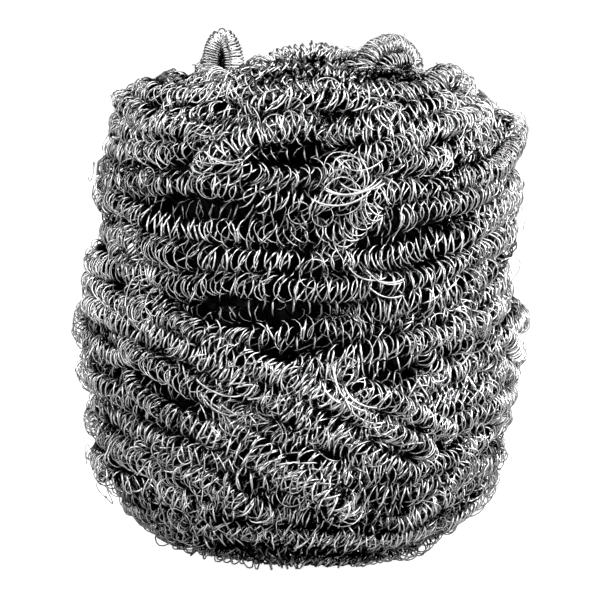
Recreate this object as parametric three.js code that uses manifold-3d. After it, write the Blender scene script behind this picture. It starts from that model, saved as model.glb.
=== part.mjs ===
// A metal scourer: fine steel ribbon coiled into a springy strand, and the strand wound round and
// round into a ball that stands on its flattened base. Millimetres, +Z up. The origin is the middle
// of the base, and azimuth 0 is the front, at -Y, with +X on the right.

import * as THREE from "three";
import { LoftGeometry } from "three/addons/geometries/LoftGeometry.js";
import { mergeGeometries, mergeVertices } from "three/addons/utils/BufferGeometryUtils.js";
import Module from "manifold-3d";

// The ball, measured over the crests of its turns
const BODY_DIAMETER = 74.5;
const BODY_HEIGHT = 84;
const BASE_FLAT_RADIUS = 14;
const BASE_CORNER_HEIGHT = 21;
const BASE_HOLLOW_RADIUS = 4;
const BASE_HOLLOW_DEPTH = 3;
const BASE_PRESS = 1.2; // how far the lowest turns are flattened by what the ball stands on
const TOP_RIM_RADIUS = 18;
const TOP_SHOULDER_HEIGHT = 20;
const TOP_HOLLOW_RADIUS = 4;
const TOP_HOLLOW_DEPTH = 5;
const WAIST_BULGE = 2.2; // the fullest height stands this far proud of the side
const WAIST_HEIGHT = 38.5;
const WAIST_SPREAD = 8.5;
const TOP_LEAN = 1.5; // the upper half has settled this far towards +X
const LEAN_FROM = 44;
const LEAN_TO = 58;

// The coiled strand and its winding
const STRAND_DIAMETER = 5.2;
const TURN_PITCH = 4.9; // less than the strand, because the turns squeeze each other
const GROOVE_DEPTH = 3; // from a turn's crest down to where it meets its neighbour
const CREST_FROM = 0.26; // a turn is full between these shares of its width
const CREST_TO = 0.74;
const COIL_RIB_DEPTH = 0.9;
const RIBS_PER_TURN = 22;
const RIB_LEAN = -1; // columns that a rib leans by from one groove to the next
const STRAND_SIDES = 6;
const LOOSE_RIB_PITCH = 5.6; // along the strands that leave the winding
const LOOSE_RIB_DEPTH = 0.8;
const LOOP_DIAMETER = 4; // the strand is pulled tighter where it loops out of the top,
const LOOP_RIB_PITCH = 2.8; // with its ribs closer,
const LOOP_SINK = 5.2; // and its feet sunk this far
const FEWEST_LOOSE_RIBS = 3;

// How the hand-wound turns stray from a plain helix
const TURN_WAVER = 1.1; // up and down the side
const TURN_STAGGER = 1; // in and out of it
const END_CALM = 16; // the turns steady themselves over this much of each end
const STAGGER_FROM = 2; // the turns are pressed level below this height,
const STAGGER_TO = 14; // and are free to stray above this one

// The waves that make up the waver and the stagger: share, waves round the ball, and shift from turn to turn
const WAVER_WAVES = [
  { share: 0.6, waves: 2, shift: 0.5, phase: 0 },
  { share: 0.4, waves: 3, shift: -0.8, phase: 1 },
];
const STAGGER_WAVES = [
  { share: 0.55, waves: 3, shift: 2.1, phase: 0 },
  { share: 0.45, waves: 5, shift: -1.7, phase: 2 },
];

// Where the turns are pulled up or down: azimuth and half length in degrees, height, spread and rise
const SAGS = [
  { azimuth: 5, reach: 55, height: 48, spread: 26, rise: -3 },
  { azimuth: 85, reach: 38, height: 57, spread: 18, rise: 6.5 },
  { azimuth: -78, reach: 36, height: 43, spread: 14, rise: 5 },
  { azimuth: 24, reach: 34, height: 24, spread: 13, rise: -4 },
  { azimuth: -150, reach: 40, height: 46, spread: 18, rise: -4 },
];

// Where neighbouring turns have sprung apart: azimuth and half length in degrees, height and gap
const PARTINGS = [
  { azimuth: -6, reach: 20, height: 70.5, gap: 3 },
  { azimuth: -27, reach: 15, height: 62, gap: 2.8 },
  { azimuth: -16, reach: 18, height: 47, gap: 2.8 },
  { azimuth: 30, reach: 16, height: 60.5, gap: 2.2 },
  { azimuth: -30, reach: 18, height: 28.5, gap: 2.4 },
  { azimuth: 24, reach: 15, height: 13.5, gap: 2.6 },
  { azimuth: 135, reach: 18, height: 54, gap: 2.8 },
  { azimuth: 205, reach: 20, height: 33.5, gap: 2.8 },
];
const PARTING_EDGE = 0.2; // in turns: how sharply the two sides of a parting leave it,
const PARTING_WIDTH = 0.4; // how wide its groove is,
const PARTING_SPREAD = 2.5; // and how far up and down the turns are pushed

// Strands that cross over the turns, from one azimuth and height to another
const CROSSINGS = [
  { from: [-60, 36], to: [14, 12], proud: 0.9 },
  { from: [-57, 41], to: [20, 16], proud: 1.3 },
  { from: [-52, 45], to: [25, 21], proud: 1.5 },
  { from: [-42, 46], to: [24, 27], proud: 1.1 },
  { from: [0, 37], to: [70, 46], proud: 1.5 },
  { from: [10, 44], to: [66, 53], proud: 1.1 },
  { from: [4, 38], to: [50, 22], proud: 1.4 },
  { from: [44, 68], to: [88, 76], proud: 1.4 },
  { from: [150, 62], to: [215, 48], proud: 1.4 },
  { from: [158, 56], to: [220, 43], proud: 1.1 },
  { from: [235, 20], to: [276, 33], proud: 0.8 },
  { from: [110, 20], to: [165, 34], proud: 1.2 },
];
const CROSSING_SHARES = [0, 0.2, 0.5, 0.8, 1]; // along a crossing, with both ends sunk

// Loops that stand up out of the top turns: azimuth and radius of each foot, and the rise
const LOOPS = [
  { from: [-95, 17], to: [-80, 13.5], rise: 6.5 },
  { from: [52, 12.5], to: [92, 17.5], rise: 6 },
  { from: [150, 15], to: [205, 14], rise: 3.8 },
];

const bodyRadius = BODY_DIAMETER / 2;
const columnsPerTurn = 2 * RIBS_PER_TURN;
const columnStep = (2 * Math.PI) / columnsPerTurn;
const weldGap = 0.001;
const startShare = Math.min(0, RIB_LEAN) / columnsPerTurn;

const smoothRise = (from, to, x) => THREE.MathUtils.smoothstep(x, from, to);
const bell = (x) => Math.exp(-x * x);

// The ball's outline from the hollow in its base to the hollow in its top, as radius and height
function bodyOutline() {
  const foot = -BASE_PRESS;
  const cornerTop = foot + BASE_CORNER_HEIGHT;
  const shoulderFoot = BODY_HEIGHT - TOP_SHOULDER_HEIGHT;
  const hollowWidth = TOP_RIM_RADIUS - TOP_HOLLOW_RADIUS;
  const path = new THREE.Path();
  path.moveTo(BASE_HOLLOW_RADIUS, foot);
  path.lineTo(BASE_FLAT_RADIUS, foot);
  path.absellipse(BASE_FLAT_RADIUS, cornerTop, bodyRadius - BASE_FLAT_RADIUS, BASE_CORNER_HEIGHT,
    -Math.PI / 2, 0, false);
  path.lineTo(bodyRadius, shoulderFoot);
  path.absellipse(TOP_RIM_RADIUS, shoulderFoot, bodyRadius - TOP_RIM_RADIUS, TOP_SHOULDER_HEIGHT,
    0, Math.PI / 2, false);
  path.absellipse(TOP_RIM_RADIUS, BODY_HEIGHT - TOP_HOLLOW_DEPTH, hollowWidth, TOP_HOLLOW_DEPTH,
    Math.PI / 2, Math.PI, false);
  return path;
}

const outline = bodyOutline();
const outlineSteps = 400;
outline.arcLengthDivisions = outlineSteps;
const outlineLength = outline.getLength();
const stripColumns = Math.round(columnsPerTurn * (outlineLength / TURN_PITCH - 1));
const turnPitch = outlineLength / ((stripColumns + RIB_LEAN) / columnsPerTurn + 1);

// How far along the outline it first reaches a height
function alongAtHeight(height) {
  for (let i = 0; i <= outlineSteps; i += 1) {
    const share = i / outlineSteps;
    if (outline.getPointAt(share).y >= height) return share * outlineLength;
  }
  return outlineLength;
}

// The angle between two azimuths, from -pi to pi
function azimuthGap(a, b) {
  return THREE.MathUtils.euclideanModulo(a - b + Math.PI, 2 * Math.PI) - Math.PI;
}

// How far along the outline the groove runs that is nearest to a place, at that azimuth
function nearestGroove(azimuth, along) {
  const start = turnPitch * (azimuth / (2 * Math.PI) - startShare);
  return start + turnPitch * Math.round((along - start) / turnPitch);
}

const sags = SAGS.map((s) => ({
  ...s,
  azimuth: THREE.MathUtils.degToRad(s.azimuth),
  reach: THREE.MathUtils.degToRad(s.reach),
  along: alongAtHeight(s.height),
}));

// How far the turns are pulled up or down at a place
function turnSag(azimuth, along) {
  return sags.reduce((total, s) => {
    const near = bell(azimuthGap(azimuth, s.azimuth) / s.reach) * bell((along - s.along) / s.spread);
    return total + s.rise * near;
  }, 0);
}

// How far along the outline a turn starts from that the sags bring to a height
function alongFor(azimuth, height) {
  const goal = alongAtHeight(height);
  const rounds = 5;
  let along = goal;
  for (let i = 0; i < rounds; i += 1) along = goal - turnSag(azimuth, along);
  return along;
}

const partings = PARTINGS.map((p) => {
  const azimuth = THREE.MathUtils.degToRad(p.azimuth);
  const reach = THREE.MathUtils.degToRad(p.reach);
  return { azimuth, reach, along: nearestGroove(azimuth, alongFor(azimuth, p.height)), gap: p.gap };
});

// A sum of waves round the ball that shift from turn to turn
function waveSum(waves, azimuth, turn) {
  return waves.reduce((sum, w) => sum + w.share * Math.sin(w.waves * azimuth + w.shift * turn + w.phase), 0);
}

// How far a turn strays along the outline
function turnDrift(azimuth, along) {
  let drift = turnSag(azimuth, along) + TURN_WAVER * waveSum(WAVER_WAVES, azimuth, along / turnPitch);
  for (const p of partings) {
    const side = (along - p.along) / turnPitch;
    const near = bell(side / PARTING_SPREAD) * bell(azimuthGap(azimuth, p.azimuth) / p.reach);
    drift += (p.gap / 2) * Math.tanh(side / PARTING_EDGE) * near;
  }
  return drift * smoothRise(0, END_CALM, along) * smoothRise(0, END_CALM, outlineLength - along);
}

// How far a turn stands proud of its neighbours, with the side's fullness
function turnLift(azimuth, along, height) {
  const stagger = TURN_STAGGER * waveSum(STAGGER_WAVES, azimuth, along / turnPitch);
  const fullness = WAIST_BULGE * bell((height - WAIST_HEIGHT) / WAIST_SPREAD);
  return stagger * smoothRise(STAGGER_FROM, STAGGER_TO, height) + fullness;
}

// How much deeper a groove is where the turns beside it have sprung apart
function partingDepth(azimuth, along) {
  const depths = partings.map((p) => {
    const side = (along - p.along) / turnPitch;
    return p.gap * bell(side / PARTING_WIDTH) * bell(azimuthGap(azimuth, p.azimuth) / p.reach);
  });
  return Math.max(...depths);
}

// A point on the ball, a given height proud of the crests
function ballPoint(azimuth, along, proud) {
  const share = THREE.MathUtils.clamp((along + turnDrift(azimuth, along)) / outlineLength, 0, 1);
  const crest = outline.getPointAt(share);
  const rise = outline.getTangentAt(share);
  const lift = proud + turnLift(azimuth, along, crest.y);
  const radius = crest.x + rise.y * lift;
  const height = Math.max(crest.y - rise.x * lift, 0);
  const lean = TOP_LEAN * smoothRise(LEAN_FROM, LEAN_TO, height);
  return new THREE.Vector3(radius * Math.sin(azimuth) + lean, -radius * Math.cos(azimuth), height);
}

// The points across one turn at a column, from its upper groove over its crest to its lower groove
function turnSection(column) {
  const rib = column % 2 ? COIL_RIB_DEPTH : 0;
  const across = [
    [1, -GROOVE_DEPTH],
    [CREST_TO, -rib],
    [CREST_FROM, -rib],
    [0, -GROOVE_DEPTH],
  ];
  return across.map(([share, proud]) => {
    const azimuth = columnStep * (column + RIB_LEAN * share);
    const along = turnPitch * (azimuth / (2 * Math.PI) + share - startShare);
    return ballPoint(azimuth, along, proud - partingDepth(azimuth, along));
  });
}

// A fan that closes the end of the winding, from a point on the axis to a loop of points round it
function endPlug(middle, loop) {
  const points = loop.flatMap((point, i) => [middle, point, loop[(i + 1) % loop.length]]);
  return new THREE.BufferGeometry().setFromPoints(points);
}

// The whole winding: one ribbed strip whose upper edge lies on the lower edge of the next turn
function windingGeometry() {
  const sections = [];
  for (let column = 0; column <= stripColumns; column += 1) sections.push(turnSection(column));
  const lap = columnsPerTurn + RIB_LEAN;
  const lowerEdge = sections.slice(0, lap + 1).map((section) => section.at(-1));
  const upperEdge = sections.slice(-lap - 1).map((section) => section[0]);
  const baseLoop = [...lowerEdge, ...sections[0].slice(1, -1)].reverse();
  const topLoop = [...upperEdge, ...sections.at(-1).slice(1, -1)];
  const parts = [
    new LoftGeometry(sections, { closed: false }).toNonIndexed(),
    endPlug(new THREE.Vector3(0, 0, BASE_HOLLOW_DEPTH), baseLoop),
    endPlug(new THREE.Vector3(0, 0, BODY_HEIGHT - TOP_HOLLOW_DEPTH), topLoop),
  ];
  for (const part of parts) {
    part.deleteAttribute("normal");
    part.deleteAttribute("uv");
  }
  return mergeGeometries(parts);
}

// A free length of ribbed strand along a curve
function strandGeometry(curve, diameter, ribPitch) {
  const columns = 2 * Math.max(FEWEST_LOOSE_RIBS, Math.round(curve.getLength() / ribPitch));
  const frames = curve.computeFrenetFrames(columns, false);
  const sections = [];
  for (let i = 0; i <= columns; i += 1) {
    const middle = curve.getPointAt(i / columns);
    const radius = diameter / 2 - (i % 2 ? LOOSE_RIB_DEPTH : 0);
    const ring = [];
    for (let side = 0; side < STRAND_SIDES; side += 1) {
      const angle = (2 * Math.PI * side) / STRAND_SIDES;
      ring.push(middle.clone()
        .addScaledVector(frames.normals[i], radius * Math.cos(angle))
        .addScaledVector(frames.binormals[i], radius * Math.sin(angle)));
    }
    sections.push(ring);
  }
  return new LoftGeometry(sections, { capStart: true, capEnd: true });
}

// A strand that crosses the turns and dives under them at both ends
function crossingGeometry({ from, to, proud }) {
  const points = CROSSING_SHARES.map((share) => {
    const azimuth = THREE.MathUtils.degToRad(THREE.MathUtils.lerp(from[0], to[0], share));
    const height = THREE.MathUtils.lerp(from[1], to[1], share);
    const dive = share === 0 || share === 1 ? STRAND_DIAMETER : 0;
    return ballPoint(azimuth, alongFor(azimuth, height), proud - STRAND_DIAMETER / 2 - dive);
  });
  return strandGeometry(new THREE.CatmullRomCurve3(points), STRAND_DIAMETER, LOOSE_RIB_PITCH);
}

// A loop of strand that stands up between two feet sunk in the top turns
function loopGeometry({ from, to, rise }) {
  const foot = ([azimuth, radius], height) => {
    const angle = THREE.MathUtils.degToRad(azimuth);
    return new THREE.Vector3(radius * Math.sin(angle), -radius * Math.cos(angle), height);
  };
  const rim = BODY_HEIGHT - LOOP_DIAMETER / 2;
  const points = [
    foot(from, rim - LOOP_SINK),
    foot(from, rim + rise / 2),
    foot(from, 0).lerp(foot(to, 0), 0.5).setZ(rim + rise),
    foot(to, rim + rise / 2),
    foot(to, rim - LOOP_SINK),
  ];
  const lean = new THREE.Vector3(TOP_LEAN, 0, 0);
  const curve = new THREE.CatmullRomCurve3(points.map((point) => point.add(lean)));
  return strandGeometry(curve, LOOP_DIAMETER, LOOP_RIB_PITCH);
}

const wasm = await Module();
wasm.setup();

// A closed geometry as a solid that can be joined to another
function solidOf(geometry) {
  const bare = new THREE.BufferGeometry().copy(geometry);
  bare.deleteAttribute("normal");
  bare.deleteAttribute("uv");
  const merged = mergeVertices(bare, weldGap);
  return new wasm.Manifold(new wasm.Mesh({
    numProp: 3,
    vertProperties: merged.attributes.position.array,
    triVerts: new Uint32Array(merged.index.array),
  }));
}

// The winding with its crossing strands and loops, as one solid without the pockets sealed under them
function scourerGeometry() {
  const strands = [...CROSSINGS.map(crossingGeometry), ...LOOPS.map(loopGeometry)];
  const whole = strands.reduce((joined, strand) => joined.add(solidOf(strand)), solidOf(windingGeometry()));
  const [body] = whole.decompose().sort((a, b) => b.volume() - a.volume());
  const mesh = body.getMesh();
  const geometry = new THREE.BufferGeometry();
  geometry.setAttribute("position", new THREE.BufferAttribute(mesh.vertProperties, mesh.numProp));
  geometry.setIndex(new THREE.BufferAttribute(mesh.triVerts, 1));
  geometry.computeVertexNormals();
  return geometry;
}

const steelWire = new THREE.MeshStandardMaterial({ color: 0x9b9b9c, roughness: 0.28, metalness: 1 });

const scourer = new THREE.Group();
const winding = new THREE.Mesh(scourerGeometry(), steelWire);
winding.name = "wound_wire_coil";
scourer.add(winding);

export default scourer;
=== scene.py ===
"""A metal scourer: flat steel wire coiled into a springy strand, and the strand wound into a ball."""

import math

import bpy
import numpy as np
from bpy.props import FloatProperty, FloatVectorProperty, IntProperty, PointerProperty
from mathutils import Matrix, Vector


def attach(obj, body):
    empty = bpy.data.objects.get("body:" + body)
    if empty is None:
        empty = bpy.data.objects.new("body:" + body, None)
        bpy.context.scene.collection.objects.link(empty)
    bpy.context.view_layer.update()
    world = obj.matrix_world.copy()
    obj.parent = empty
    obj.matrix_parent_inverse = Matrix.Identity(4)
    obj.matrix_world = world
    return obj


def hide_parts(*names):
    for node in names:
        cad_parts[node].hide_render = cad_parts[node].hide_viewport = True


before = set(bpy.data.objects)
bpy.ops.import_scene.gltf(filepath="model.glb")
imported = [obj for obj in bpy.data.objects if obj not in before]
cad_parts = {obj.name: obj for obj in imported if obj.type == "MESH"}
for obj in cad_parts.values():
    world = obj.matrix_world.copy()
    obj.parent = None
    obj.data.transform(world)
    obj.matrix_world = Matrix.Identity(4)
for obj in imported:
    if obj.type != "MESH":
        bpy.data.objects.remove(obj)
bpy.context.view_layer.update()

bl_info = {
    "name": "Wound Wire Scourer",
    "version": (1, 0, 0),
    "blender": (4, 5, 0),
    "location": "View3D > Sidebar > Scourer",
    "description": "Coils flat steel wire into strands and winds them into a scourer",
    "category": "Add Mesh",
}

NODE = "wound_wire_coil"
MM = 0.001
TURN = 2.0 * math.pi


def table(fields, *rows):
    """The rows of a table, with the fields named once; a short row leaves out the last of them."""
    return [dict(zip(fields.split(), row)) for row in rows]


# Where the turns are pulled up or down: azimuth and half length in degrees, height, spread and rise in mm
SAGS = table(
    "azimuth reach height spread rise",
    (5, 55, 48, 26, -3.0),
    (85, 38, 58, 15, 6.0),
    (-78, 36, 43, 14, 3.0),
    (24, 34, 24, 13, -4.0),
    (-150, 40, 46, 18, -4.0),
)

# Where neighbouring turns have sprung apart: azimuth in degrees and height in mm of each end, and gap in mm
PARTINGS = table(
    "start stop gap",
    ((-24, 71.5), (11, 69.5), 3.2),
    ((-48, 68.5), (-33, 67.5), 2.4),
    ((-41, 63), (-14, 61), 2.8),
    ((-33, 51.5), (2, 42), 2.6),
    ((14, 59), (47, 62), 2.2),
    ((-50, 35.5), (-11, 21.5), 2.6),
    ((10, 15), (38, 12), 2.6),
    ((117, 56), (153, 52), 2.2),
    ((185, 36), (225, 31), 2.2),
)

# Strands that cross over the turns: azimuth in degrees and height in mm of each end, how proud they lie
# in mm, and how much flatter they run at first
CROSSINGS = table(
    "start stop proud ease",
    ((-60, 34), (14, 12), 0.9, 1.5),
    ((-57, 39), (20, 16), 1.3, 1.5),
    ((-52, 44), (25, 21), 1.5, 1.4),
    ((-42, 46), (24, 27), 1.1, 1.3),
    ((0, 37), (70, 46), 1.5),
    ((10, 44), (66, 53), 1.1),
    ((4, 38), (50, 22), 1.4),
    ((-2, 36), (42, 19), 1.6),
    ((-14, 35), (34, 16), 1.7),
    ((-24, 31), (20, 10.5), 1.5),
    ((-46, 24), (-2, 9), 1.3, 1.5),
    ((150, 62), (215, 48), 1.4),
    ((158, 56), (220, 43), 1.1),
    ((235, 20), (276, 33), 0.8),
    ((110, 20), (165, 34), 1.2),
    ((-74, 77.5), (-26, 71.5), 1.3),
    ((38, 71.5), (80, 78.5), 1.0),
    ((48, 59.5), (86, 67.5), 0.6),
    ((-22, 79), (30, 80), 1.7),
    ((4, 76), (58, 80), 1.5),
    ((10, 70.5), (48, 77), 1.2),
    ((-42, 82.5), (8, 83), 1.5),
    ((-122, 79), (-60, 77), 1.6),
    ((62, 61), (120, 67), 0.1),
    ((60, 25), (116, 19), 0.6),
    ((22, 28), (66, 30.5), 0.9),
    ((-125, 25), (-68, 20), 0.8),
    ((-130, 44), (-70, 37), 0.6),
    ((100, 77.5), (170, 81), 0.6),
    ((185, 82), (250, 78), 1.5),
)

# Neat strands that cross in the same way, with one loose end
LOOSE_ENDS = table(
    "start stop proud",
    ((46, 66), (86, 73.5), 2.2),
    ((58, 40), (90, 31.5), 1.3),
)

# Loops that stand up out of the top turns: azimuth in degrees and radius in mm of each foot, and the rise
LOOPS = table(
    "start stop rise",
    ((52, 12.5), (92, 17.5), 6.0),
    ((60, 14), (88, 17), 3.0),
)

# A neat strand bent double into a narrow loop, given in the same way
HAIRPINS = table(
    "start stop rise",
    ((-92, 16.6), (-88, 13.0), 7.0),
)

# Strands that bulge over the rim of the top, given in the same way
HUMPS = table(
    "start stop rise",
    ((150, 15), (205, 14), 3.8),
    ((60, 11.5), (94, 16), 4.6),
    ((145, 14), (200, 13), 2.8),
    ((155, 12), (100, 12), 3.0),
    ((215, 13), (275, 9), 1.6),
    ((-30, 16), (20, 17), 0.8),
    ((20, 7), (200, 6), -3.5),
    ((100, 7), (285, 6), -4.5),
    ((60, 6), (240, 7), -5.5),
)

# The wires of a strand: loop radius outward and across and their spacing in mm, lean and the swing of patches
# in degrees, disorder, straight bits in a loop, and the share of the inner shade that it takes, if not all
WIRE_FIELDS = "radius across pitch lean swing disorder bits shade"
STRAND_WIRES = table(
    WIRE_FIELDS,
    (2.4, 2.1, 1.6, 16, 55, 0.5, 12),
    (2.2, 2.1, 1.9, 2, 55, 1.0, 11),
    (1.7, 1.8, 1.9, -14, 55, 1.5, 10),
)
# The rougher turns of the base and the top
ROUGH_WIRES = table(
    WIRE_FIELDS,
    (2.3, 2.0, 1.6, 12, 65, 0.8, 12),
    (2.1, 2.0, 1.9, 0, 65, 1.2, 11),
    (1.7, 1.8, 1.9, -14, 65, 1.6, 10),
)
# The strands that bulge over the rim
HUMP_WIRES = table(
    WIRE_FIELDS,
    (2.3, 2.1, 0.9, 16, 40, 0.4, 12),
    (2.1, 2.1, 1.1, -4, 45, 0.8, 11),
    (1.7, 1.8, 1.3, -14, 45, 1.2, 10),
)
# The neater strands: loops, the one bent double, and loose ends
LOOP_WIRES = table(
    WIRE_FIELDS,
    (2.0, 1.9, 0.75, 6, 20, 0.12, 14, 0.6),
    (1.8, 1.8, 1.1, -4, 30, 0.3, 14, 0.6),
)
HAIRPIN_WIRES = table(
    WIRE_FIELDS,
    (1.8, 1.7, 0.46, 4, 12, 0.06, 14, 0.5),
    (1.6, 1.6, 0.8, -4, 14, 0.12, 14, 0.5),
)
LOOSE_WIRES = table(
    WIRE_FIELDS,
    (2.2, 2.1, 1.05, 10, 25, 0.25, 14),
    (2.0, 1.9, 1.6, -6, 35, 0.5, 14),
)
# The turns behind the outer ones
INNER_WIRES = table(
    WIRE_FIELDS,
    (2.0, 2.0, 2.1, 20, 55, 0.9, 6),
    (1.8, 2.0, 2.4, -12, 55, 1.5, 6),
)
# The lengths in which the turns are made: first and last turn, counted from the base, or up to the top
OUTER_LENGTHS = table(
    "name first last kinds",
    ("base_turns", 0.0, 8.6, ROUGH_WIRES),
    ("waist_turns", 8.6, 13.2, STRAND_WIRES),
    ("shoulder_turns", 13.2, 17.8, STRAND_WIRES),
    ("top_turns", 17.8, None, ROUGH_WIRES),
)
INNER_LENGTHS = table(
    "name first last kinds",
    ("inner_low_turns", 1.0, 12.6, INNER_WIRES),
    ("inner_high_turns", 12.6, None, INNER_WIRES),
)
# Loose single loops: how many, radius and height over the turns in mm, stand in radians, and turns of wire
STRAYS = table(
    "count radius proud stand turns",
    (110, (1.2, 2.4), (-0.4, 0.4), 0.05, 1.2),
    (50, (2.4, 4.0), (-0.4, 0.6), 1.0, 0.8),
)
# Wires pulled out into wide arcs: azimuth in degrees and height in mm of their middle, radius in mm, the
# angles between which they lie, from the right and upwards, and how many
PULLED = table(
    "place radius span count",
    ((11, 70.5), (4.0, 7.5), (210, 345), 5),
    ((-25, 74.0), (4.0, 6.0), (225, 325), 4),
    ((-19, 34.5), (3.5, 5.0), (200, 320), 4),
    ((19, 55.0), (4.0, 5.5), (205, 325), 4),
    ((-36, 47.0), (4.0, 6.0), (120, 250), 4),
    ((17, 36.0), (5.2, 6.8), (175, 275), 4),
    ((42, 41.0), (2.5, 4.0), (-70, 60), 4),
    ((160, 50.0), (4.5, 7.0), (200, 330), 8),
    ((230, 64.0), (4.0, 6.0), (30, 150), 6),
)
# Fine wires curled up into a whorl, given in the same way
WHORLS = table(
    "place radius span count",
    ((8, 67.5), (1.2, 3.4), (-100, 200), 5),
    ((-8, 76.0), (1.2, 2.6), (-100, 200), 4),
    ((22, 77.5), (1.2, 2.6), (-100, 200), 4),
    ((200, 66.0), (1.4, 3.2), (-100, 220), 5),
)
# Ends of wire that stick out: where they leave the turns, and their reach, in mm
WIRE_ENDS = table(
    "start reach",
    ((-4.4, 8.0, 84.0), (-0.3, 0.0, 2.9)),
    ((-2.8, 8.0, 84.0), (0.2, 0.0, 2.7)),
    ((17.6, 0.0, 88.0), (0.6, 0.0, 1.8)),
    ((27.0, -3.0, 78.4), (1.8, 0.0, 2.2)),
    ((28.0, -2.0, 77.6), (2.6, 0.0, 1.7)),
    ((29.0, -2.0, 76.6), (3.2, 0.0, 1.5)),
    ((0.5, -18.0, 1.0), (2.4, -1.0, 0.2)),
)
# Short strands that lie across the turns by chance: length in mm, slant in degrees, how proud they lie in mm,
# and the shares of the outline between which they lie
TANGLES = dict(count=36, length=(14, 30), slant=(14, 52), proud=(0.0, 0.9), along=(0.22, 0.84))

KNOTS_PER_TURN = 9  # where a strand may change the way it wanders
SPARE_TURNS = 3  # for which it has knots past the top
STEPS_PER_TURN = 480  # points of a strand's middle line
HEAVE_RANGE = (-1.0, 0.6)  # a strand sinks further than it rises
SAG_ROUNDS = 5  # to find the turn that the sags bring to a place
SLOPE_STEP = 0.3 * MM  # to either side of where the outline's direction is read
CROSSING_SHARES = np.array([0.0, 0.2, 0.5, 0.8, 1.0])  # along a strand that crosses the turns
INNER_DEPTH = 0.6  # of the middle of the turns behind, in strand diameters
INNER_PARTED = 0.85  # how far they follow the partings

# Waves of the turns: share, waves round the ball, shift from turn to turn, and start in radians
WAVER_WAVES = ((0.6, 2, 0.5, 0), (0.4, 3, -0.8, 1))
STAGGER_WAVES = ((0.55, 3, 2.1, 0), (0.45, 5, -1.7, 2))
STAGGER_HEIGHTS = (2 * MM, 14 * MM)  # the turns are level below the first and free to stray above the second
PARTING_EDGE = 0.2  # in turns: how sharply the two sides of a parting leave it,
PARTING_SPREAD = 2.5  # and how far up and down the turns are pushed
PARTING_TAPER = 1.6  # how fast a parting closes along its length
FOOT_HEIGHTS = (0.10, 0.26)  # shares of the height over which the rounding at the base ends,
SHOULDER_HEIGHTS = (0.84, 0.94)  # and over which the one at the top begins
FOOT_SWELL = 0.6  # swell of the turns at the base, against the top

# How the loops of a wire stray: slowly, over this many loops, and loosely from each loop to the next
SIZE_STRAY = (0.18, 8, 0.22)  # of the loop's size
LEAN_STRAY = (14, 9, 40)  # degrees
OUT_STRAY = (0.35, 5, 0.6)  # mm
SIDE_STRAY = (0.6, 6, 0.9)  # mm
TWIST_STRAY = (0.25, 2, 0.7)  # radians
DISORDER_LOOPS = 12  # over which the disorder changes
DISORDER_SHRINK = 0.1  # of the loop's size
PATCH_LOOPS = 9  # or so, that swing the same way
SWING_LOOSE = 25  # degrees
FEWEST_LOOPS = 3
PITCH_SPREAD = 0.3  # of the spacing of the loops
SKIP_SHARE = 0.05  # of the loops, after which the wire runs on
SKIP_LENGTH = 2.4  # times as far
TURNED_SHARE = 0.04  # of the loops, which are turned aside
TURNED_SWING = (0.7, 1.3)  # by so many radians
OUTER_CROWDING = 0.3  # how much closer together the straight bits of a loop are on its outer side

# Where the ball's surface slopes, the open side of a strand turns from the outward direction; the painted
# shade of its loops is lightest on the open side
SLOPE_RANGE = (0.2, 0.9)
TOP_TURN = 1.3
BASE_TURN = -0.5

WIRE_SECTION = np.array([[0.5, 0.35], [-0.5, 0.35], [0.0, -0.65]])  # corners, in widths and thicknesses
MAP_ROW_LENGTH = 0.5  # metres of wire in each row of the texture map
MAP_BANDS = np.array([0.0, 0.45, 0.72, 1.0])  # shares of a row that the sides of the wire take up
MAP_REACH = 0.99  # of the map's width

STRAY_BITS = 16
STRAY_GAUGE = 0.6  # of the wire of stray loops and whorls
STRAY_ALONG = (0.24, 0.97)  # shares of the outline
STRAY_STAND = 0.25  # radians by which their stand strays
STRAY_ROUND = (0.7, 1.0)  # shares of the full loop
STRAY_PITCH = 0.3  # mm for each radian, at most
NEAR_UPRIGHT = (0.3, 0.2, 1.0)  # tilted, so that a loop on the very top has a level direction too
PULLED_BITS = 24
PULLED_TURN = 25  # degrees by which each end of an arc strays
PULLED_STRETCH = (0.55, 1.0)  # height of an arc against its width
PULLED_ALONG = 2.0  # mm by which it strays up or down,
PULLED_AROUND = 2.5  # and to either side
PULLED_PROUD = (0.2, 0.9)  # mm
PULLED_SINK = 2.5  # mm by which its ends dive in,
PULLED_TAPER = 0.2  # over this share of its length
WIRE_END_BITS = 8
WIRE_END_BEND = 0.15

HEART_COLUMNS = 80
HEART_ROWS = 70
HEART_DEPTH = 1.6  # strand diameters
HEART_ALONG = (0.12, 0.9)  # shares of the outline
HEART_RIDGE = 1.2 * MM
HEART_POLES = ((0.5, 0.05), (0.5, 0.97))  # the middles of its ends on the texture map

# The mottle of the steel: two noises, the streaks' share, and the part of their blend that is spread out
MOTTLE = "Drawn steel mottle"
STREAKS = {"Scale": 700.0, "Detail": 3.0}
PATCHES = {"Scale": 90.0, "Detail": 2.0}
STREAK_SHARE = 0.6
MOTTLE_RANGE = {"From Min": 0.36, "From Max": 0.64}
# Painted shade: the depths over which the wire's colour goes from its own to black
SHADE_RANGE = {"From Min": 0.24, "From Max": 0.54, "To Min": 1.0, "To Max": 0.0}
EDGE_TINT = 0.1  # of the reflection at a glancing angle
WIRE_BUMP = 0.25
PACKED_BUMP = 0.8
PACKED_WORN = 0.6
BUMP_DISTANCE = 0.05 * MM
BLACK = (0.0, 0.0, 0.0, 1.0)
WHITE = (1.0, 1.0, 1.0, 1.0)

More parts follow.
